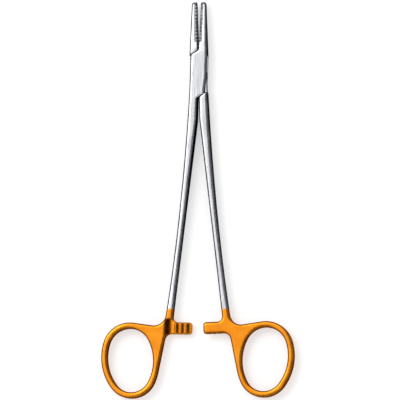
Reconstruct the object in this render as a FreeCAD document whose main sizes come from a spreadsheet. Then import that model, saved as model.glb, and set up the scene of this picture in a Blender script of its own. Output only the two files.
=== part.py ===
"""Surgical needle holder: slim box-lock pattern with finger rings, ratchet and carbide jaw inserts.

Frame: the instrument lies flat. The origin is on the pivot axis at the underside of the box,
+Y runs to the jaw tips, +X to the right and +Z up through the thickness. Millimetres.

Both forgings are drawn in the same way, closed, with the handle on the +X side and the jaw on the
-X side. The tenon half keeps that place. The box half is turned over about the Y axis, which puts
its handle on the left and its ratchet arm under the other one. Each half is then swung out of the
closed position by half of the resting angle.
"""
import FreeCAD, Part
import math
import os

import Sketcher

doc = FreeCAD.newDocument("needle_holder")
sheet = doc.addObject("Spreadsheet::Sheet", "Sizes")

DRIVING_DIMENSIONS = [
    # Joint and rest position
    ("rest_swing", 1.6, "degrees that each half stands open at rest"),
    ("box_thickness", 6.0, "thickness of the box, the thickest part"),
    ("box_half_width", 3.75, "half width of the box at its shoulders"),
    ("box_waist_half_width", 3.25, "half width where the far shank's shoulder stands proud"),
    ("waist_start", 1.5, "how far below the pivot the box starts to narrow"),
    ("waist_end", 6.8, "how far below the pivot the waist is reached"),
    ("shoulder_inner", 10.8, "pivot to the shoulder line, measured on the centre plane"),
    ("shoulder_outer", 8.25, "pivot to the shoulder line, at the side of the box"),
    ("shoulder_gap", 0.12, "gap between the two halves' shoulders when closed"),
    ("centre_gap", 0.05, "half of the gap between the shanks' inner faces when closed"),
    ("slot_height", 2.7, "height of the slot between the cheeks"),
    ("slot_end", 8.4, "pivot to the end walls of the slot"),
    ("slot_side_gap", 0.1, "how far the slot reaches past the centre plane"),
    ("tenon_half_width", 3.6, "half width of the tenon's two arms"),
    ("tenon_thickness", 2.6, "thickness of the tenon in the slot"),
    ("tenon_eye_radius", 3.6, "radius of the tenon's eye round the pin"),
    ("tenon_arm_gap", 0.15, "distance of the tenon's arms from the centre plane"),
    ("tenon_web", 1.0, "half height of the tenon's web across the eye"),
    ("pin_radius", 1.25, "radius of the pivot pin, pressed into the cheeks"),
    ("pin_running_gap", 0.05, "radial clearance of the pin in the tenon"),
    # Jaws and inserts
    ("flat_top", 10.0, "pivot to the upper end of the full thickness, where the jaws start to taper"),
    ("flat_bottom", 12.8, "pivot to the lower end of the full thickness, where the shanks thin"),
    ("jaw_length", 32.8, "pivot to the jaw tip"),
    ("jaw_tip_width", 2.35, "centre plane to the jaw's back, at the tip"),
    ("jaw_tip_radius", 1.33, "half thickness of the jaw at its round end"),
    ("insert_start", 14.6, "pivot to the lower end of the insert"),
    ("insert_thickness", 1.05, "thickness of the carbide insert"),
    ("bite_gap", 0.02, "half of the gap between the gripping faces when closed"),
    ("hatch_pitch", 1.14, "distance between neighbouring grooves"),
    ("hatch_depth", 0.24, "depth of a groove"),
    ("hatch_width", 0.52, "width of a groove at the gripping face"),
    # Shanks
    ("shank_root_width", 3.8, "centre plane to the shank's outer edge at the box"),
    ("crotch", 21.0, "pivot to the point where the inner edges part"),
    ("shank_inner_at_arm", 8.35, "centre plane to the shank's inner edge at the ratchet arm"),
    ("shank_bow_radius", 1060.0, "radius of the shank's bowed outer edge"),
    ("handle_start", 106.0, "pivot to the place where the taper ends"),
    ("handle_half_thickness", 2.1, "half thickness of rings and handles"),
    ("saddle_x", 12.1, "centre plane to the saddle between shank and ring"),
    ("saddle_y", 114.7, "pivot to that saddle"),
    ("saddle_radius", 5.4, "radius in that saddle"),
    # Finger rings: an egg of four arcs, and a band round it
    ("ring_top_x", 27.57, "centre plane to the centre of the egg's top arc"),
    ("ring_top_y", 125.35, "pivot to the centre of the egg's top arc"),
    ("ring_top_radius", 9.6, "radius of the opening's top arc"),
    ("ring_bottom_x", 26.32, "centre plane to the centre of the egg's bottom arc"),
    ("ring_bottom_y", 135.8, "pivot to the centre of the egg's bottom arc"),
    ("ring_bottom_radius", 8.6, "radius of the opening's bottom arc"),
    ("ring_side_radius", 20.49, "radius of the opening's two side arcs"),
    ("ring_band", 2.8, "width of the band round the opening"),
    # Ratchet
    ("arm_top", 112.4, "pivot to the upper edge of the ratchet arm"),
    ("arm_height", 5.4, "height of the ratchet arm"),
    ("arm_overreach", 0.5, "how far the arm's tip passes the centre plane when closed"),
    ("arm_root", 11.3, "centre plane to the corner below the arm"),
    ("arm_tip_rounding", 1.3, "rounding of the arm's tip corners"),
    ("arm_top_radius", 2.2, "radius between the arm and the shank"),
    ("arm_bottom_radius", 3.0, "radius between the arm and the ring"),
    ("recess_end", 9.5, "centre plane to the step where the arm goes to half thickness"),
    ("recess_slope", 2.4, "run of the slope from that step up to the back of the web"),
    ("recess_margin", 1.3, "how far the recess runs past the arm's edges"),
    ("arm_face_gap", 0.5, "mid plane to the arm's face between the teeth"),
    ("tooth_pitch", 2.35, "distance between ratchet teeth"),
    ("tooth_count", 3, "number of ratchet teeth"),
    ("tooth_run", 1.9, "length of a tooth's gentle slope"),
    ("tooth_back", 0.15, "length of a tooth's steep back"),
    ("tooth_height", 0.8, "height of a tooth above the arm's face"),
    ("tooth_lead", 1.2, "arm tip to the first tooth"),
    # Finish of the forging
    ("edge_rounding", 1.0, "rounding of the long edges"),
    ("stock_allowance", 1.0, "extra thickness of the blank that the side profile takes off"),
]


class Size:
    """A number that keeps the spreadsheet expression it comes from, so a constraint can be bound."""

    def __init__(self, value, text=None):
        self.value = float(value)
        self.text = text or repr(float(value))

    @staticmethod
    def of(other):
        return other if isinstance(other, Size) else Size(other)

    def join(self, other, sign, value):
        return Size(value, f"({self.text} {sign} {Size.of(other).text})")

    def __add__(self, other):
        return self.join(other, "+", self.value + Size.of(other).value)

    def __sub__(self, other):
        return self.join(other, "-", self.value - Size.of(other).value)

    def __mul__(self, other):
        return self.join(other, "*", self.value * Size.of(other).value)

    def __truediv__(self, other):
        return self.join(other, "/", self.value / Size.of(other).value)

    def __neg__(self):
        return Size(-self.value, f"(0 - {self.text})")


class Sizes:
    """The driving dimensions by name."""


size = Sizes()
for row, (alias, number, meaning) in enumerate(DRIVING_DIMENSIONS, start=1):
    sheet.set(f"A{row}", alias)
    sheet.set(f"B{row}", str(number))
    sheet.set(f"C{row}", meaning)
    sheet.setAlias(f"B{row}", alias)
    setattr(size, alias, Size(number, f"Sizes.{alias}"))
doc.recompute()

# Mid plane, a length past the whole width, and the tolerance for finding edges
MID = size.box_thickness / 2
FAR = Size(60)
NEAR = 0.01


# Sketch helpers

def new_body(label):
    body = doc.addObject("PartDesign::Body", label)
    body.Label = label
    return body


def origin_feature(body, role):
    return next(item for item in body.Origin.OriginFeatures if item.Role == role)


def new_sketch(body, name, role, offset=None):
    """A sketch on one of the body's origin planes, moved along the plane's normal by offset."""
    sketch = body.newObject("Sketcher::SketchObject", name)
    sketch.AttachmentSupport = [(origin_feature(body, role), "")]
    sketch.MapMode = "FlatFace"
    if offset is not None:
        sketch.setExpression("AttachmentOffset.Base.z", offset.text)
    return sketch


def bind(sketch, constraint, amount):
    """Add a dimension and tie it to its expression."""
    index = sketch.addConstraint(constraint)
    sketch.setExpression(f"Constraints[{index}]", amount.text)


def pin_point(sketch, geometry, end, x, y):
    """Fix one end of an edge by its two coordinates."""
    bind(sketch, Sketcher.Constraint("DistanceX", -1, 1, geometry, end, x.value), x)
    bind(sketch, Sketcher.Constraint("DistanceY", -1, 1, geometry, end, y.value), y)


def add_line(sketch, start, end):
    first = FreeCAD.Vector(start[0].value, start[1].value, 0)
    last = FreeCAD.Vector(end[0].value, end[1].value, 0)
    return sketch.addGeometry(Part.LineSegment(first, last), False)


def add_polygon(sketch, corners):
    """A closed loop of straight edges whose corners are all placed by the spreadsheet."""
    edges = []
    for index, corner in enumerate(corners):
        following = corners[(index + 1) % len(corners)]
        edges.append(add_line(sketch, corner, following))
    for index, edge in enumerate(edges):
        following = edges[(index + 1) % len(edges)]
        sketch.addConstraint(Sketcher.Constraint("Coincident", edge, 2, following, 1))
        pin_point(sketch, edge, 1, *corners[index])
    return edges


def add_arc(sketch, centre, radius, start, end):
    """An arc that runs anticlockwise from the direction start to the direction end, in radians."""
    if end < start:
        end += math.tau
    circle = Part.Circle(FreeCAD.Vector(centre[0], centre[1], 0), FreeCAD.Vector(0, 0, 1), radius)
    return sketch.addGeometry(Part.ArcOfCircle(circle, start, end), False)


def direction(centre, point):
    return math.atan2(point[1] - centre[1], point[0] - centre[0])


def extrude(body, kind, name, sketch, length):
    feature = body.newObject(f"PartDesign::{kind}", name)
    feature.Profile = sketch
    feature.Type = "Length"
    feature.setExpression("Length", length.text)
    return feature


def round_edges(body, name, radius, wanted):
    """A Fillet on the edges of the body's present shape that the function wanted picks."""
    doc.recompute()
    base = body.Tip
    edges = enumerate(base.Shape.Edges, start=1)
    names = [f"Edge{number}" for number, edge in edges if wanted(base.Shape, edge)]
    fillet = body.newObject("PartDesign::Fillet", name)
    fillet.Base = (base, names)
    fillet.setExpression("Radius", radius.text)
    return fillet


def upright_at(x, y):
    """Picks the upright edge that stands at a point of the plan."""
    def wanted(shape, edge):
        ends = [vertex.Point for vertex in edge.Vertexes]
        near = all(math.hypot(end.x - x.value, end.y - y.value) < NEAR for end in ends)
        return len(ends) == 2 and near and abs(ends[0].z - ends[1].z) > NEAR
    return wanted


# The finger opening and the band round it

def egg_frame():
    """Centres of the egg's arcs as plain numbers, for the first guess of a sketch."""
    top = (size.ring_top_x.value, -size.ring_top_y.value)
    bottom = (size.ring_bottom_x.value, -size.ring_bottom_y.value)
    span = math.dist(top, bottom)
    along = ((bottom[0] - top[0]) / span, (bottom[1] - top[1]) / span)
    across = (-along[1], along[0])
    to_top = size.ring_side_radius.value - size.ring_top_radius.value
    to_bottom = size.ring_side_radius.value - size.ring_bottom_radius.value
    down = (to_top ** 2 - to_bottom ** 2 + span ** 2) / (2 * span)
    aside = math.sqrt(to_top ** 2 - down ** 2)
    near_side = tuple(top[i] + down * along[i] + aside * across[i] for i in (0, 1))
    far_side = tuple(top[i] + down * along[i] - aside * across[i] for i in (0, 1))
    return top, bottom, near_side, far_side


def bind_egg(sketch, arcs, band):
    """Tie the four arcs, given as top, far side, bottom and near side, to the spreadsheet."""
    top, far_side, bottom, near_side = arcs
    pin_point(sketch, top, 3, size.ring_top_x, -size.ring_top_y)
    pin_point(sketch, bottom, 3, size.ring_bottom_x, -size.ring_bottom_y)
    radii = [(top, size.ring_top_radius), (far_side, size.ring_side_radius),
             (bottom, size.ring_bottom_radius), (near_side, size.ring_side_radius)]
    for arc, radius in radii:
        outer = radius + band
        bind(sketch, Sketcher.Constraint("Radius", arc, outer.value), outer)
    sketch.addConstraint(Sketcher.Constraint("Tangent", top, 1, far_side, 2))
    sketch.addConstraint(Sketcher.Constraint("Tangent", far_side, 1, bottom, 2))
    sketch.addConstraint(Sketcher.Constraint("Tangent", bottom, 1, near_side, 2))


def add_egg_arcs(sketch, band, top_end=None, near_start=None):
    """The four arcs of the egg, grown by band, closed or with the top and near arcs cut short."""
    top, bottom, near_centre, far_centre = egg_frame()
    grow = band.value
    far_up = direction(far_centre, top)
    far_down = direction(far_centre, bottom)
    near_up = direction(near_centre, top)
    near_down = direction(near_centre, bottom)
    side = size.ring_side_radius.value + grow
    if top_end is None:
        top_end = near_up
        near_start = near_up
    return (
        add_arc(sketch, top, size.ring_top_radius.value + grow, far_up, top_end),
        add_arc(sketch, far_centre, side, far_down, far_up),
        add_arc(sketch, bottom, size.ring_bottom_radius.value + grow, near_down, far_down),
        add_arc(sketch, near_centre, side, near_start, near_down),
    )


# One half of the instrument from the shoulder to the ring

def shoulder_at(x):
    """Height of the shoulder line at a distance x from the centre plane."""
    drop = (size.shoulder_inner - size.shoulder_outer) * x / size.box_half_width
    return size.shoulder_inner - drop


def add_handle_outline(sketch, gap):
    """Shank, web, ring and ratchet arm as one outline, which starts gap below the shoulder line."""
    top_inner = (size.centre_gap, -(shoulder_at(size.centre_gap) + gap))
    top_outer = (size.shank_root_width, -(shoulder_at(size.shank_root_width) + gap))
    saddle = (size.saddle_x, -size.saddle_y)
    arm_bottom = size.arm_top + size.arm_height
    arm_corner = (size.arm_root, -arm_bottom)
    shank_corner = (size.shank_inner_at_arm, -size.arm_top)

    # First guess of the points where the straight edges run into the egg
    top, bottom, near_centre, far_centre = egg_frame()
    top_radius = size.ring_top_radius.value + size.ring_band.value
    side_radius = size.ring_side_radius.value + size.ring_band.value
    top_angle = math.radians(96)
    near_angle = math.radians(191)
    meets_top = (Size(top[0] + top_radius * math.cos(top_angle)),
                 Size(top[1] + top_radius * math.sin(top_angle)))
    meets_side = (Size(near_centre[0] + side_radius * math.cos(near_angle)),
                  Size(near_centre[1] + side_radius * math.sin(near_angle)))

    shoulder = add_line(sketch, top_inner, top_outer)
    chord = math.dist((top_outer[0].value, top_outer[1].value), (saddle[0].value, saddle[1].value))
    bow = size.shank_bow_radius.value
    middle = ((top_outer[0].value + saddle[0].value) / 2, (top_outer[1].value + saddle[1].value) / 2)
    reach = math.sqrt(bow ** 2 - chord ** 2 / 4) / chord
    rise = top_outer[1].value - saddle[1].value
    run = saddle[0].value - top_outer[0].value
    bow_centre = (middle[0] + reach * rise, middle[1] + reach * run)
    outer_edge = add_arc(sketch, bow_centre, bow,
                         direction(bow_centre, (top_outer[0].value, top_outer[1].value)),
                         direction(bow_centre, (saddle[0].value, saddle[1].value)))
    web_top = add_line(sketch, saddle, meets_top)
    arcs = add_egg_arcs(sketch, size.ring_band, top_angle, near_angle)
    near_edge = add_line(sketch, meets_side, arm_corner)
    arm_under = add_line(sketch, arm_corner, (-size.arm_overreach, -arm_bottom))
    arm_end = add_line(sketch, (-size.arm_overreach, -arm_bottom), (-size.arm_overreach, -size.arm_top))
    arm_upper = add_line(sketch, (-size.arm_overreach, -size.arm_top), shank_corner)
    inner_edge = add_line(sketch, shank_corner, (size.centre_gap, -size.crotch))
    inner_face = add_line(sketch, (size.centre_gap, -size.crotch), top_inner)

    joins = [(shoulder, 2, outer_edge, 1), (outer_edge, 2, web_top, 1), (near_edge, 2, arm_under, 1),
             (arm_under, 2, arm_end, 1), (arm_end, 2, arm_upper, 1), (arm_upper, 2, inner_edge, 1),
             (inner_edge, 2, inner_face, 1), (inner_face, 2, shoulder, 1)]
    for first, first_end, second, second_end in joins:
        sketch.addConstraint(Sketcher.Constraint("Coincident", first, first_end, second, second_end))
    pin_point(sketch, shoulder, 1, *top_inner)
    pin_point(sketch, shoulder, 2, *top_outer)
    pin_point(sketch, web_top, 1, *saddle)
    bind(sketch, Sketcher.Constraint("Radius", outer_edge, bow), size.shank_bow_radius)
    bind_egg(sketch, arcs, size.ring_band)
    sketch.addConstraint(Sketcher.Constraint("Tangent", web_top, 2, arcs[0], 2))
    sketch.addConstraint(Sketcher.Constraint("Tangent", near_edge, 1, arcs[3], 1))
    pin_point(sketch, near_edge, 2, *arm_corner)
    pin_point(sketch, arm_end, 1, -size.arm_overreach, -arm_bottom)
    pin_point(sketch, arm_end, 2, -size.arm_overreach, -size.arm_top)
    pin_point(sketch, inner_edge, 1, *shank_corner)
    pin_point(sketch, inner_edge, 2, size.centre_gap, -size.crotch)
    return shank_corner, arm_corner


def add_tip_arc(sketch):
    """The full-round end of a jaw, seen from the side."""
    quarter = math.pi / 2
    tip_start = size.jaw_length - size.jaw_tip_radius
    tip = add_arc(sketch, (tip_start.value, MID.value), size.jaw_tip_radius.value, -quarter, quarter)
    pin_point(sketch, tip, 3, tip_start, MID)
    bind(sketch, Sketcher.Constraint("Radius", tip, size.jaw_tip_radius.value), size.jaw_tip_radius)
    return tip


def add_profile_side(sketch, tip, up):
    """One side of the thickness profile: jaw taper, flat box, S-shaped shank taper and handle."""
    first, last = (1, 2) if up > 0 else (2, 1)
    box_level = MID + size.box_thickness / 2 * up
    handle_level = MID + size.handle_half_thickness * up
    tip_point = (size.jaw_length - size.jaw_tip_radius, MID + size.jaw_tip_radius * up)
    jaw_end = (size.flat_top, box_level)
    box_end = (-size.flat_bottom, box_level)
    handle = (-size.handle_start, handle_level)
    ring_end = (-(size.ring_bottom_y + size.ring_bottom_radius + size.ring_band + size.edge_rounding / 2),
                handle_level)
    jaw = add_line(sketch, tip_point, jaw_end)
    box = add_line(sketch, jaw_end, box_end)
    grip = add_line(sketch, handle, ring_end)

    # Two equal arcs, tangent to each other and to the flats, share the drop between them
    half_run = (size.handle_start.value - size.flat_bottom.value) / 2
    half_drop = abs(box_level.value - handle_level.value) / 2
    radius = (half_run ** 2 + half_drop ** 2) / (2 * half_drop)
    sweep = math.asin(half_run / radius)
    above = math.pi / 2 * up
    below = -above
    near_centre = (box_end[0].value, box_level.value - radius * up)
    far_centre = (handle[0].value, handle_level.value + radius * up)
    if up > 0:
        near_arc = add_arc(sketch, near_centre, radius, above, above + sweep)
        far_arc = add_arc(sketch, far_centre, radius, below, below + sweep)
    else:
        near_arc = add_arc(sketch, near_centre, radius, above - sweep, above)
        far_arc = add_arc(sketch, far_centre, radius, below - sweep, below)

    sketch.addConstraint(Sketcher.Constraint("Tangent", tip, 3 - first, jaw, 1))
    sketch.addConstraint(Sketcher.Constraint("Coincident", jaw, 2, box, 1))
    sketch.addConstraint(Sketcher.Constraint("Tangent", box, 2, near_arc, first))
    sketch.addConstraint(Sketcher.Constraint("Tangent", near_arc, last, far_arc, last))
    sketch.addConstraint(Sketcher.Constraint("Tangent", far_arc, first, grip, 1))
    sketch.addConstraint(Sketcher.Constraint("Equal", near_arc, far_arc))
    pin_point(sketch, box, 1, *jaw_end)
    pin_point(sketch, box, 2, *box_end)
    pin_point(sketch, grip, 1, *handle)
    pin_point(sketch, grip, 2, *ring_end)
    return grip, ring_end


def cut_side_profile(body):
    """Trim the blank's thickness from the round jaw tip, over the box, down to the rings."""
    sketch = new_sketch(body, "SideProfile", "YZ_Plane", FAR)
    past_tip = size.jaw_length + size.edge_rounding
    past_ring = -(size.ring_bottom_y + size.ring_bottom_radius + size.ring_band + size.edge_rounding)
    over = size.box_thickness + size.stock_allowance * 2
    under = -(size.stock_allowance * 2)
    add_polygon(sketch, [(past_ring, under), (past_tip, under), (past_tip, over), (past_ring, over)])
    tip = add_tip_arc(sketch)
    upper, upper_end = add_profile_side(sketch, tip, 1)
    lower, lower_end = add_profile_side(sketch, tip, -1)
    end = add_line(sketch, upper_end, lower_end)
    sketch.addConstraint(Sketcher.Constraint("Coincident", upper, 2, end, 1))
    sketch.addConstraint(Sketcher.Constraint("Coincident", end, 2, lower, 2))
    return extrude(body, "Pocket", "SideTrim", sketch, FAR * 2)


def cut_finger_opening(body):
    sketch = new_sketch(body, "FingerOpeningOutline", "XY_Plane", size.box_thickness * 2)
    arcs = add_egg_arcs(sketch, Size(0))
    bind_egg(sketch, arcs, Size(0))
    sketch.addConstraint(Sketcher.Constraint("Tangent", arcs[3], 1, arcs[0], 2))
    return extrude(body, "Pocket", "FingerOpening", sketch, size.box_thickness * 3)


def cut_ratchet(body):
    """Take the back half off the arm, with a slope at its root, and set the saw teeth on the rest."""
    face = MID + size.arm_face_gap
    arm_bottom = size.arm_top + size.arm_height
    left = -(size.arm_overreach + size.recess_margin)
    back = MID - size.handle_half_thickness
    below = back - size.stock_allowance
    slope_end = size.recess_end + size.recess_slope
    recess = new_sketch(body, "ArmRecessProfile", "XZ_Plane", arm_bottom + size.recess_margin)
    add_polygon(recess, [(left, below), (slope_end, below), (slope_end, back), (size.recess_end, face),
                         (left, face)])
    extrude(body, "Pocket", "ArmRecess", recess, size.arm_height + size.recess_margin * 2)

    profile = new_sketch(body, "ToothProfile", "XZ_Plane", size.arm_top)
    root = face + size.tooth_back
    start = -size.arm_overreach + size.tooth_lead
    crest = start + size.tooth_run
    end = crest + size.tooth_back
    add_polygon(profile, [(start, face), (crest, face - size.tooth_height), (end, face), (end, root),
                          (start, root)])
    tooth = extrude(body, "Pad", "Tooth", profile, size.arm_height)
    tooth.Reversed = False
    teeth = body.newObject("PartDesign::LinearPattern", "Teeth")
    teeth.Originals = [tooth]
    teeth.Direction = (origin_feature(body, "X_Axis"), [""])
    teeth.Mode = "Spacing"
    teeth.setExpression("Offset", size.tooth_pitch.text)
    teeth.setExpression("Occurrences", size.tooth_count.text)
    body.Tip = teeth
    return teeth


def rim_edges(allowed):
    """Picks the edges between an upright wall and an upper or lower face, where allowed."""
    flat_lift = 0.9
    wall_lift = 0.1

    def lift(face, point):
        return abs(face.normalAt(*face.Surface.parameter(point)).z)

    def wanted(shape, edge):
        point = edge.valueAt((edge.FirstParameter + edge.LastParameter) / 2)
        if not allowed(point):
            return False
        lifts = [lift(face, point) for face in shape.ancestorsOfType(edge, Part.Face)]
        return len(lifts) == 2 and max(lifts) > flat_lift and min(lifts) < wall_lift
    return wanted


def on_shoulder(point):
    """True beside the shoulder lines, whose edges stay crisp."""
    height = shoulder_at(Size(abs(point.x))).value
    return abs(abs(point.y) - height) < size.shoulder_gap.value * 2


def on_grip(point):
    """True on the flat inner side of the jaw and on the seat of its insert."""
    seat = size.bite_gap.value + size.insert_thickness.value
    return point.y > size.shoulder_outer.value and abs(point.x) < seat + NEAR


def on_tenon(point):
    """True on the thin tenon, whose edges stay square."""
    half_thickness = size.tenon_thickness.value / 2
    return point.y > -size.crotch.value and abs(point.z - MID.value) < half_thickness + NEAR


def build_half(body, add_core, gap):
    """The features that both forgings share. add_core makes the jaw and what lies in the box."""
    blank = size.box_thickness + size.stock_allowance * 2
    add_core(body, blank)
    handle = new_sketch(body, "HandleOutline", "XY_Plane", -size.stock_allowance)
    shank_corner, arm_corner = add_handle_outline(handle, gap)
    extrude(body, "Pad", "Handle", handle, blank)
    saddle = upright_at(size.saddle_x, -size.saddle_y)
    round_edges(body, "SaddleRounding", size.saddle_radius, saddle)
    round_edges(body, "ArmTopRounding", size.arm_top_radius, upright_at(*shank_corner))
    round_edges(body, "ArmBottomRounding", size.arm_bottom_radius, upright_at(*arm_corner))
    tip_top = upright_at(-size.arm_overreach, -size.arm_top)
    tip_bottom = upright_at(-size.arm_overreach, -(size.arm_top + size.arm_height))
    round_edges(body, "ArmTipRounding", size.arm_tip_rounding,
                lambda shape, edge: tip_top(shape, edge) or tip_bottom(shape, edge))
    cut_side_profile(body)
    cut_finger_opening(body)
    round_edges(body, "EdgeRounding", size.edge_rounding,
                rim_edges(lambda point: not (on_shoulder(point) or on_grip(point) or on_tenon(point))))
    cut_ratchet(body)


def jaw_corners(gap):
    """The jaw in plan, from the shoulder line up the gripping side and down the back."""
    seat = size.bite_gap + size.insert_thickness
    return [
        (-size.centre_gap, shoulder_at(size.centre_gap) + gap),
        (-size.centre_gap, size.insert_start),
        (-seat, size.insert_start),
        (-seat, size.jaw_length),
        (-size.jaw_tip_width, size.jaw_length),
        (-size.box_half_width, size.shoulder_outer + gap),
    ]


# The box half: cheeks and jaw in one, and the slot through them

def add_box_core(body, blank):
    plan = new_sketch(body, "BoxOutline", "XY_Plane", -size.stock_allowance)
    root_inner = (size.centre_gap, -(shoulder_at(size.centre_gap)))
    root_outer = (size.shank_root_width, -(shoulder_at(size.shank_root_width)))
    box_side = [
        (-size.box_half_width, -size.waist_start),
        (-size.box_waist_half_width, -size.waist_end),
        (-size.box_waist_half_width, -(shoulder_at(size.box_waist_half_width))),
    ]
    corners = jaw_corners(Size(0)) + box_side + [root_inner, root_outer]
    corners.append((size.box_half_width, size.shoulder_outer))
    add_polygon(plan, corners)
    extrude(body, "Pad", "Box", plan, blank)


def build_box_half():
    body = new_body("box_half")
    build_half(body, add_box_core, Size(0))

    slot = new_sketch(body, "SlotOutline", "XY_Plane", MID + size.slot_height / 2)
    outside = size.box_half_width * 2
    beyond = size.shoulder_inner + size.slot_side_gap * 4
    side = size.slot_side_gap
    add_polygon(slot, [
        (-side, size.slot_end), (-side, beyond), (outside, beyond), (outside, -size.slot_end),
        (side, -size.slot_end), (side, -beyond), (-outside, -beyond), (-outside, size.slot_end),
    ])
    extrude(body, "Pocket", "Slot", slot, size.slot_height)
    cut_pin_hole(body, size.pin_radius)
    return body


def cut_pin_hole(body, radius):
    sketch = new_sketch(body, "PinHoleOutline", "XY_Plane", size.box_thickness * 2)
    circle = Part.Circle(FreeCAD.Vector(0, 0, 0), FreeCAD.Vector(0, 0, 1), radius.value)
    hole = sketch.addGeometry(circle, False)
    sketch.addConstraint(Sketcher.Constraint("Coincident", hole, 3, -1, 1))
    bind(sketch, Sketcher.Constraint("Radius", hole, radius.value), radius)
    return extrude(body, "Pocket", "PinHole", sketch, size.box_thickness * 3)


# The tenon half: jaw, tenon and shank

def add_tenon_core(body, blank):
    web = new_sketch(body, "TenonOutline", "XY_Plane", MID - size.tenon_thickness / 2)
    width = size.tenon_half_width
    reach = size.shoulder_inner + size.tenon_arm_gap
    gap = size.tenon_arm_gap
    web_half = size.tenon_web
    add_polygon(web, [
        (-gap, web_half), (-gap, reach), (-width, reach), (-width, -web_half),
        (gap, -web_half), (gap, -reach), (width, -reach), (width, web_half),
    ])
    extrude(body, "Pad", "Tenon", web, size.tenon_thickness)

    eye = new_sketch(body, "TenonEyeOutline", "XY_Plane", MID - size.tenon_thickness / 2)
    circle = Part.Circle(FreeCAD.Vector(0, 0, 0), FreeCAD.Vector(0, 0, 1), size.tenon_eye_radius.value)
    ring = eye.addGeometry(circle, False)
    eye.addConstraint(Sketcher.Constraint("Coincident", ring, 3, -1, 1))
    bind(eye, Sketcher.Constraint("Radius", ring, size.tenon_eye_radius.value), size.tenon_eye_radius)
    extrude(body, "Pad", "TenonEye", eye, size.tenon_thickness)

    jaw = new_sketch(body, "JawOutline", "XY_Plane", -size.stock_allowance)
    add_polygon(jaw, jaw_corners(size.shoulder_gap))
    extrude(body, "Pad", "Jaw", jaw, blank)


def build_tenon_half():
    body = new_body("tenon_half")
    build_half(body, add_tenon_core, size.shoulder_gap)
    cut_pin_hole(body, size.pin_radius + size.pin_running_gap)
    return body


# Pin and inserts

def build_pivot_pin():
    body = new_body("pivot_pin")
    sketch = new_sketch(body, "PinOutline", "XY_Plane")
    circle = Part.Circle(FreeCAD.Vector(0, 0, 0), FreeCAD.Vector(0, 0, 1), size.pin_radius.value)
    outline = sketch.addGeometry(circle, False)
    sketch.addConstraint(Sketcher.Constraint("Coincident", outline, 3, -1, 1))
    bind(sketch, Sketcher.Constraint("Radius", outline, size.pin_radius.value), size.pin_radius)
    extrude(body, "Pad", "Pin", sketch, size.box_thickness)
    return body


def cut_hatching(body, name, turn):
    """One set of parallel grooves across the gripping face, turned by 45 degrees either way."""
    diagonal = math.sqrt(0.5)
    reach = size.box_thickness
    first = size.insert_start - size.box_thickness / 2 + size.hatch_pitch / 2
    sketch = new_sketch(body, f"{name}Profile", "XZ_Plane", reach * diagonal - first)
    tilt = FreeCAD.Rotation(FreeCAD.Vector(1, 0, 0), turn)
    sketch.AttachmentOffset = FreeCAD.Placement(FreeCAD.Vector(0, 0, 0), tilt)
    aside = MID - reach * (diagonal if turn > 0 else -diagonal)
    sketch.setExpression("AttachmentOffset.Base.y", aside.text)
    sketch.setExpression("AttachmentOffset.Base.z", (reach * diagonal - first).text)
    bottom = -(size.bite_gap + size.hatch_depth)
    above = size.hatch_depth - size.bite_gap
    add_polygon(sketch, [(bottom, Size(0)), (above, -size.hatch_width), (above, size.hatch_width)])
    groove = extrude(body, "Pocket", name, sketch, reach * 2)
    length = size.jaw_length - size.insert_start + size.box_thickness
    spacing = size.hatch_pitch / diagonal
    count = length / spacing
    rows = body.newObject("PartDesign::LinearPattern", f"{name}Rows")
    rows.Originals = [groove]
    rows.Direction = (origin_feature(body, "Y_Axis"), [""])
    rows.Mode = "Spacing"
    rows.setExpression("Offset", spacing.text)
    rows.setExpression("Occurrences", f"floor({count.text})")
    body.Tip = rows


def build_insert(label):
    body = new_body(label)
    back = -(size.bite_gap + size.insert_thickness)
    sketch = new_sketch(body, "FaceOutline", "YZ_Plane", back)
    tip = add_tip_arc(sketch)
    for up, tip_end in ((1, 2), (-1, 1)):
        tip_point = (size.jaw_length - size.jaw_tip_radius, MID + size.jaw_tip_radius * up)
        jaw_end = (size.flat_top, MID + size.box_thickness / 2 * up)
        taper = add_line(sketch, tip_point, jaw_end)
        sketch.addConstraint(Sketcher.Constraint("Tangent", tip, tip_end, taper, 1))
        pin_point(sketch, taper, 2, *jaw_end)
    across = add_line(sketch, (size.flat_top, MID + size.box_thickness / 2),
                      (size.flat_top, MID - size.box_thickness / 2))
    sketch.addConstraint(Sketcher.Constraint("Coincident", across, 1, 1, 2))
    sketch.addConstraint(Sketcher.Constraint("Coincident", across, 2, 2, 2))
    extrude(body, "Pad", "Plate", sketch, size.insert_thickness)
    lower_end = new_sketch(body, "LowerEndOutline", "XY_Plane", size.box_thickness * 2)
    below = size.shoulder_outer - size.shoulder_gap
    add_polygon(lower_end, [(back * 2, below), (-back, below), (-back, size.insert_start),
                            (back * 2, size.insert_start)])
    extrude(body, "Pocket", "LowerEnd", lower_end, size.box_thickness * 3)
    cut_hatching(body, "RisingGroove", 45)
    cut_hatching(body, "FallingGroove", -45)
    return body


# Assembly: the box half and its insert are turned over, and each half is swung open

def place(body, turned_over):
    swing = FreeCAD.Rotation(FreeCAD.Vector(0, 0, 1), size.rest_swing.value)
    if turned_over:
        over = FreeCAD.Rotation(FreeCAD.Vector(0, 1, 0), 180)
        body.Placement = FreeCAD.Placement(FreeCAD.Vector(0, 0, 0), swing.inverted() * over)
        body.setExpression("Placement.Base.z", size.box_thickness.text)
    else:
        body.Placement = FreeCAD.Placement(FreeCAD.Vector(0, 0, 0), swing)
    doc.recompute()


def check_document():
    for item in doc.Objects:
        faults = [state for state in item.State if state in ("Invalid", "Error")]
        if faults:
            raise RuntimeError(f"{item.Label} of {item.TypeId} is {faults}")


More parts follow.
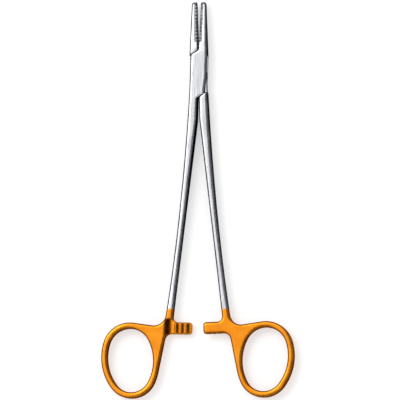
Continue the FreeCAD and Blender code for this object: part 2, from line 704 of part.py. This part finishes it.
def main():
    box_half = build_box_half()
    tenon_half = build_tenon_half()
    pivot_pin = build_pivot_pin()
    box_jaw_insert = build_insert("box_jaw_insert")
    tenon_jaw_insert = build_insert("tenon_jaw_insert")
    place(box_half, True)
    place(box_jaw_insert, True)
    place(tenon_half, False)
    place(tenon_jaw_insert, False)
    doc.recompute()
    check_document()

    os.makedirs("parts", exist_ok=True)
    for body in (box_half, tenon_half, pivot_pin, box_jaw_insert, tenon_jaw_insert):
        shape = body.Shape
        if shape.isNull() or not shape.isValid() or len(shape.Solids) != 1:
            raise RuntimeError(f"{body.Label} isn't one valid solid")
        shape.exportStep(f"parts/{body.Label}.step")
        box = shape.BoundBox
        print(f"{body.Label}: {shape.Volume:.1f} mm3, x {box.XMin:.2f} to {box.XMax:.2f}, "
              f"y {box.YMin:.2f} to {box.YMax:.2f}, z {box.ZMin:.2f} to {box.ZMax:.2f}")


main()
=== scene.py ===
"""A satin steel needle holder with gold-plated handles, lying a little open on a white table."""
import math

import bmesh
import bpy
from mathutils import Matrix, Vector

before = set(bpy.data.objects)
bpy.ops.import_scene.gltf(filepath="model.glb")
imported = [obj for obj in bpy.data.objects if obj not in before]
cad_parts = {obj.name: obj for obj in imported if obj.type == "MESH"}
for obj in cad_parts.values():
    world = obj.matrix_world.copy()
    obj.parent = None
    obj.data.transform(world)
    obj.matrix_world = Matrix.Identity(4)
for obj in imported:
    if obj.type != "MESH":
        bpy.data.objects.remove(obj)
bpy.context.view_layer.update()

MM = 0.001

# Where the photograph looks: its picture plane and the middle of its frame
FRAME_WIDTH = 180.1 * MM
FRAME_CENTRE = Vector((0.7, -57.05, 3.0)) * MM
CAMERA_DISTANCE = 2.6
SENSOR_WIDTH = 36.0
TURN_TO_RIGHT = math.radians(10.0)
TILT_TO_RINGS = math.radians(6.0)
ROLL = math.radians(0.24)

# Gold plating covers the rings, the ratchet arms and the last stretch of each shank
PLATING_TOP = -105.5 * MM
PLATING_FEATHER = 1.1 * MM
PLATING_WANDER = 0.5 * MM

# Sizes of the steel's pattern. A real brush line is about 0.02 mm wide: it is drawn coarser here, so
# that it shows at this size
BRUSH_WIDTH = 0.45 * MM
BRUSH_LENGTH = 9 * MM
BRUSH_RELIEF = 0.05 * MM
CLOUD_SIZE = 7 * MM

# How level a surface is, 1 on a flat and 0 on a wall: where its look starts to turn from flat to the
# darker side with its painted shade, and where it has turned
FLAT_LEVEL = 0.99
SIDE_LEVEL = 0.84

# Rounding that tumbling adds to the edges, and the flush ground ring round the pin that has none
TUMBLED_RADIUS = 1.4 * MM
PIN_SURROUND = 2.5 * MM
PIN_SURROUND_FADE = 0.3 * MM

# The inserts' cross hatching, as it is cut: one crossing of two grooves, seen in a closed jaw
REST_SWING = math.radians(1.6)
BITE_GAP = 0.02 * MM
HATCH_PITCH = 1.14 * MM
GROOVE_CROSSING = (15.394 * MM, 3.0 * MM)

# A groove's end as it is drawn: half its width and its edge's softness in pitches, its depth in mm.
# The cut groove is 0.24 mm deep: it is drawn deeper, so that it shows at this size
GROOVE_HALF_WIDTH = 0.3
GROOVE_SOFTNESS = 0.02
GROOVE_DRAWN_DEPTH = 0.9

# Sizes of the carbide's pattern. A real powder grain is about 0.001 mm: it is drawn coarser too
POWDER_SIZE = 0.35 * MM
POWDER_RELIEF = 0.04 * MM
WORN_PATCH_SIZE = 3 * MM

# Table, cards and light, in metres. The lift is the glow that is added where the table is seen
TABLE_SIZE = 8
TABLE_DROP = 0.05 * MM
TABLE_LIFT = 0.48
SKY_LIGHT = 0.5
STRIP_HEIGHT = 0.08
STRIP_LENGTH = 1.2


# Colours, nodes and materials

def colour(hex_value, alpha=1.0):
    """An sRGB hex value as the linear colour that a shader socket takes."""
    channels = [int(hex_value[i:i + 2], 16) / 255 for i in (0, 2, 4)]
    linear = [c / 12.92 if c <= 0.04045 else ((c + 0.055) / 1.055) ** 2.4 for c in channels]
    return (*linear, alpha)


def add(tree, kind, inputs=None, **settings):
    """A node with its settings made and its inputs filled by values or by other nodes' outputs."""
    made = tree.nodes.new("ShaderNode" + kind)
    for name, value in settings.items():
        setattr(made, name, value)
    for socket, value in (inputs or {}).items():
        if isinstance(value, bpy.types.NodeSocket):
            tree.links.new(value, made.inputs[socket])
        else:
            made.inputs[socket].default_value = value
    return made


def new_material(name):
    """An empty node material and its tree."""
    material = bpy.data.materials.new(name)
    material.use_nodes = True
    material.node_tree.nodes.clear()
    return material, material.node_tree


def grain(tree, place, width, length, detail=3.0):
    """Streaks along the instrument: width and length of one scratch in metres."""
    stretched = add(tree, "Mapping", {"Vector": place, "Scale": (1 / width, 1 / length, 1 / width)})
    return add(tree, "TexNoise", {"Vector": stretched.outputs["Vector"], "Scale": 1.0, "Detail": detail,
                                  "Roughness": 0.6}).outputs["Fac"]


def blotches(tree, place, size, detail=2.0):
    """Soft even clouds of about the given size in metres."""
    return add(tree, "TexNoise", {"Vector": place, "Scale": 1 / size, "Detail": detail,
                                  "Roughness": 0.5}).outputs["Fac"]


def spread(tree, value, low, high, start=0.3, end=0.7):
    """The pattern's useful middle range stretched to run from low to high."""
    return add(tree, "MapRange", {"Value": value, "From Min": start, "From Max": end,
                                  "To Min": low, "To Max": high}).outputs["Result"]


def blend(tree, factor, first, second):
    """Two colours mixed by a factor; the numbers are the Mix node's colour sockets."""
    return add(tree, "Mix", {0: factor, 6: first, 7: second}, data_type="RGBA").outputs[2]


def satin_stainless(name, forged):
    """Surgical stainless steel, brushed lengthwise; a forging carries gold plating on its handle.

    Brushing gives the eye long soft streaks and a broad highlight. The flats are finished last, so
    the sides keep the blasted look from before and stay duller and a little darker. Most of their
    dark colour is painted shade: they are drawn darker than on a real one, after the photo's dark
    bands. The plating is a few micrometres thick: the painted shade on the steel's sides still
    shows through it.
    """
    material, tree = new_material(name)
    coordinates = add(tree, "TexCoord")
    place = coordinates.outputs["Object"]
    streaks = grain(tree, place, BRUSH_WIDTH, BRUSH_LENGTH)
    clouds = blotches(tree, place, CLOUD_SIZE)
    brushed = spread(tree, streaks, 0.0, 1.0)
    base = blend(tree, brushed, colour("C6C8CC"), colour("ECEDF0"))
    roughness = spread(tree, streaks, 0.12, 0.22)
    relief = add(tree, "Bump", {"Strength": 0.18, "Distance": BRUSH_RELIEF, "Height": streaks})
    reflection_shade_tint = colour("FFFFFF")
    if forged:
        height = add(tree, "SeparateXYZ", {"Vector": place}).outputs["Y"]
        ragged = add(tree, "Math", {0: spread(tree, clouds, -PLATING_WANDER, PLATING_WANDER), 1: height},
                     operation="ADD").outputs["Value"]
        plated = add(tree, "MapRange", {"Value": ragged, "From Min": PLATING_TOP,
                                        "From Max": PLATING_TOP - PLATING_FEATHER,
                                        "To Min": 0.0, "To Max": 1.0},
                     interpolation_type="SMOOTHSTEP").outputs["Result"]
        facing_up = add(tree, "SeparateXYZ", {"Vector": coordinates.outputs["Normal"]}).outputs["Z"]
        level = add(tree, "Math", {0: facing_up}, operation="ABSOLUTE").outputs["Value"]
        sides = spread(tree, level, 1.0, 0.0, SIDE_LEVEL, FLAT_LEVEL)
        tinted = spread(tree, clouds, 0.0, 1.0)
        # The dark steel and gold of the sides is painted shade, over a little real blasted dullness
        steel_side_painted_shade = blend(tree, brushed, colour("3C3E42"), colour("606266"))
        gold = blend(tree, tinted, colour("F08C1C"), colour("FFA02A"))
        gold_side_painted_shade = blend(tree, tinted, colour("82460A"), colour("9A5810"))
        steel = blend(tree, sides, base, steel_side_painted_shade)
        plating = blend(tree, sides, gold, gold_side_painted_shade)
        base = blend(tree, plated, steel, plating)

        # Blasted pits shade each other: a side seen at a slant mirrors less than polish would. The dark
        # reflection tint there is mostly painted shade, drawn far stronger than on a real one
        reflection_shade_tint = blend(tree, sides, colour("FFFFFF"), colour("1A1A1A"))
        gold_roughness = spread(tree, clouds, 0.14, 0.24)
        roughness = add(tree, "Mix", {0: plated, 2: roughness, 3: gold_roughness},
                        data_type="FLOAT").outputs[0]

        # Tumbling rounds every edge a little more than the forging does, but not round the pin
        from_axis = add(tree, "VectorMath", {0: place, 1: (1, 1, 0)}, operation="MULTIPLY")
        distance = add(tree, "VectorMath", {0: from_axis.outputs["Vector"]}, operation="LENGTH")
        radius = spread(tree, distance.outputs["Value"], 0.0, TUMBLED_RADIUS,
                        PIN_SURROUND, PIN_SURROUND + PIN_SURROUND_FADE)
        tumbled = add(tree, "Bevel", {"Radius": radius}, samples=8)
        tree.links.new(tumbled.outputs["Normal"], relief.inputs["Normal"])
    shader = add(tree, "BsdfPrincipled", {"Base Color": base, "Roughness": roughness, "Metallic": 1.0,
                                          "Specular Tint": reflection_shade_tint,
                                          "Normal": relief.outputs["Normal"]})
    add(tree, "OutputMaterial", {"Surface": shader.outputs["BSDF"]})
    return material


def sintered_carbide(name, side):
    """Tungsten carbide sintered from powder, then cut with diamond wheels in two crossing sets.

    The powder gives the eye a dull grey with a fine speckle. The lands between the grooves wear
    bright, and the grooves are painted near black as painted shade. side is -1 for the left insert
    and 1 for the right one.
    """
    material, tree = new_material(name)
    place = add(tree, "TexCoord").outputs["Object"]

    # The lattice of the grooves: depth behind the gripping face, and pitches across both sets
    swing = -side * REST_SWING
    crossing = Matrix.Rotation(swing, 3, "Z") @ Vector((side * BITE_GAP, *GROOVE_CROSSING))
    lattice = add(tree, "Mapping", {"Vector": place, "Location": crossing,
                                    "Rotation": (math.radians(45), 0, swing),
                                    "Scale": (MM, HATCH_PITCH, HATCH_PITCH)}, vector_type="TEXTURE")
    parts = add(tree, "SeparateXYZ", {"Vector": lattice.outputs["Vector"]})
    depth = add(tree, "Math", {0: parts.outputs["X"]}, operation="ABSOLUTE").outputs["Value"]
    rising = add(tree, "Math", {0: parts.outputs["Y"], 1: 0.5}, operation="PINGPONG")
    falling = add(tree, "Math", {0: parts.outputs["Z"], 1: 0.5}, operation="PINGPONG")
    nearest = add(tree, "Math", {0: rising.outputs["Value"], 1: falling.outputs["Value"]},
                  operation="MINIMUM").outputs["Value"]

    # A groove is a V: its width falls to nothing at its bottom
    half_width = spread(tree, depth, GROOVE_HALF_WIDTH, 0.0, 0.0, GROOVE_DRAWN_DEPTH)
    inside = add(tree, "Math", {0: half_width, 1: nearest}, operation="SUBTRACT").outputs["Value"]
    groove_shade_mask = spread(tree, inside, 0.0, 1.0, -GROOVE_SOFTNESS, GROOVE_SOFTNESS)

    powder = blotches(tree, place, POWDER_SIZE, 4.0)
    patches = blotches(tree, place, WORN_PATCH_SIZE)
    dull = blend(tree, spread(tree, powder, 0.0, 1.0), colour("717276"), colour("96979C"))
    land = blend(tree, spread(tree, patches, 0.0, 0.5), dull, colour("B0B1B6"))
    # The near black in the grooves is painted shade
    base = blend(tree, groove_shade_mask, land, colour("1E1F22"))
    relief = add(tree, "Bump", {"Strength": 0.3, "Distance": POWDER_RELIEF, "Height": powder})
    shader = add(tree, "BsdfPrincipled", {"Base Color": base, "Metallic": 0.85,
                                          "Roughness": spread(tree, powder, 0.38, 0.55),
                                          "Normal": relief.outputs["Normal"]})
    add(tree, "OutputMaterial", {"Surface": shader.outputs["BSDF"]})
    return material


def seen_directly(tree):
    """1 for rays from the camera, and for those that a shiny or clear surface sends on."""
    path = add(tree, "LightPath")
    straight = add(tree, "Math", {0: path.outputs["Is Camera Ray"], 1: path.outputs["Is Glossy Ray"]},
                   operation="ADD")
    return add(tree, "Math", {0: straight.outputs["Value"], 1: path.outputs["Is Transmission Ray"]},
               operation="ADD", use_clamp=True).outputs["Value"]


def white_table():
    """A white laminate table top: its own white is lifted where it is seen, and shadows stay."""
    material, tree = new_material("white_laminate")
    lift = add(tree, "Math", {0: seen_directly(tree), 1: TABLE_LIFT}, operation="MULTIPLY")
    glow = add(tree, "Emission", {"Color": colour("FFFFFF"), "Strength": lift.outputs["Value"]})
    matt = add(tree, "BsdfDiffuse", {"Color": colour("F4F4F4")})
    both = add(tree, "AddShader", {0: glow.outputs["Emission"], 1: matt.outputs["BSDF"]})
    add(tree, "OutputMaterial", {"Surface": both.outputs["Shader"]})
    return material


def card(name, hex_value):
    """Matt card that the metal mirrors; the camera doesn't see it."""
    material, tree = new_material(name)
    matt = add(tree, "BsdfDiffuse", {"Color": colour(hex_value)})
    add(tree, "OutputMaterial", {"Surface": matt.outputs["BSDF"]})
    return material


def dress(node, material):
    """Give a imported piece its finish."""
    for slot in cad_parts[node].material_slots:
        slot.material = material


forged_steel = satin_stainless("satin_stainless_gold_handles", True)
dress("box_half", forged_steel)
dress("tenon_half", forged_steel)
dress("pivot_pin", satin_stainless("satin_stainless_pin", False))
dress("box_jaw_insert", sintered_carbide("sintered_carbide_right", 1))
dress("tenon_jaw_insert", sintered_carbide("sintered_carbide_left", -1))


# Table, cards and light

def flat_sheet(name, width, depth, place, material):
    """A level or standing sheet, made from a grid and put where the matrix says."""
    shape = bmesh.new()
    bmesh.ops.create_grid(shape, x_segments=1, y_segments=1, size=0.5)
    bmesh.ops.scale(shape, vec=(width, depth, 1), verts=shape.verts)
    bmesh.ops.transform(shape, matrix=place, verts=shape.verts)
    mesh = bpy.data.meshes.new(name)
    shape.to_mesh(mesh)
    shape.free()
    sheet = bpy.data.objects.new(name, mesh)
    mesh.materials.append(material)
    bpy.context.collection.objects.link(sheet)
    return sheet


flat_sheet("table", TABLE_SIZE, TABLE_SIZE, Matrix.Translation((0, 0, -TABLE_DROP)), white_table())

# Metal needs something dark to mirror: grey flags hang high to the right and beyond the rings, and
# low black strips stand on the table on all four sides
grey = card("grey_card", "5C5C60")
black = card("black_card", "0A0A0B")
facing_x = Matrix.Rotation(math.pi / 2, 4, "Y")
facing_y = Matrix.Rotation(math.pi / 2, 4, "X")
strip_middle = STRIP_HEIGHT / 2
cards = [
    ("right_flag", 1.3, 0.56, (0.27, -0.04, 0.95), facing_x, grey),
    ("ring_flag", 0.4, 1.3, (0.0, -0.4, 0.95), facing_y, grey),
    ("right_strip", STRIP_HEIGHT, STRIP_LENGTH, (0.3, -0.06, strip_middle), facing_x, black),
    ("left_strip", STRIP_HEIGHT, STRIP_LENGTH, (-0.3, -0.06, strip_middle), facing_x, black),
    ("ring_strip", STRIP_LENGTH, STRIP_HEIGHT, (0.0, -0.45, strip_middle), facing_y, black),
    ("jaw_strip", STRIP_LENGTH, STRIP_HEIGHT, (0.0, 0.35, strip_middle), facing_y, black),
]
for name, width, depth, middle, turn, paint in cards:
    sheet = flat_sheet(name, width, depth, Matrix.Translation(middle) @ turn, paint)
    sheet.visible_camera = False
    sheet.visible_diffuse = False
    sheet.visible_shadow = False


def soft_box(name, place, target, size, watts):
    """A square area lamp turned to its target."""
    light = bpy.data.lights.new(name, "AREA")
    light.shape = "SQUARE"
    light.size = size
    light.energy = watts
    lamp = bpy.data.objects.new(name, light)
    bpy.context.collection.objects.link(lamp)
    lamp.location = place
    lamp.rotation_euler = (Vector(target) - Vector(place)).to_track_quat("-Z", "Y").to_euler()


soft_box("key", (-0.75, 0.5, 1.2), FRAME_CENTRE, 0.8, 5.0)
soft_box("fill", (-0.1, 0.9, 1.2), FRAME_CENTRE, 0.9, 1.5)

world = bpy.data.worlds.new("studio")
bpy.context.scene.world = world
world.use_nodes = True
sky = world.node_tree
sky.nodes.clear()
strength = add(sky, "MapRange", {"Value": seen_directly(sky), "To Min": SKY_LIGHT, "To Max": 1.0})
backdrop = add(sky, "Background", {"Color": colour("FFFFFF"), "Strength": strength.outputs["Result"]})
add(sky, "OutputWorld", {"Surface": backdrop.outputs["Background"]})


# Camera

def add_camera():
    """The photo's view: nearly straight down, turned a little to the right and to the rings."""
    lens = bpy.data.cameras.new("camera")
    lens.type = "PERSP"
    lens.sensor_width = SENSOR_WIDTH
    lens.lens = SENSOR_WIDTH * CAMERA_DISTANCE / FRAME_WIDTH
    lens.clip_end = 20
    camera = bpy.data.objects.new("camera", lens)
    bpy.context.collection.objects.link(camera)
    aim = (Matrix.Rotation(TURN_TO_RIGHT, 4, "Y") @ Matrix.Rotation(TILT_TO_RINGS, 4, "X")
           @ Matrix.Rotation(ROLL, 4, "Z"))
    back = Matrix.Translation((0, 0, CAMERA_DISTANCE))
    camera.matrix_world = Matrix.Translation(FRAME_CENTRE) @ aim @ back
    bpy.context.scene.camera = camera


add_camera()
bpy.context.scene.view_settings.view_transform = "Standard"
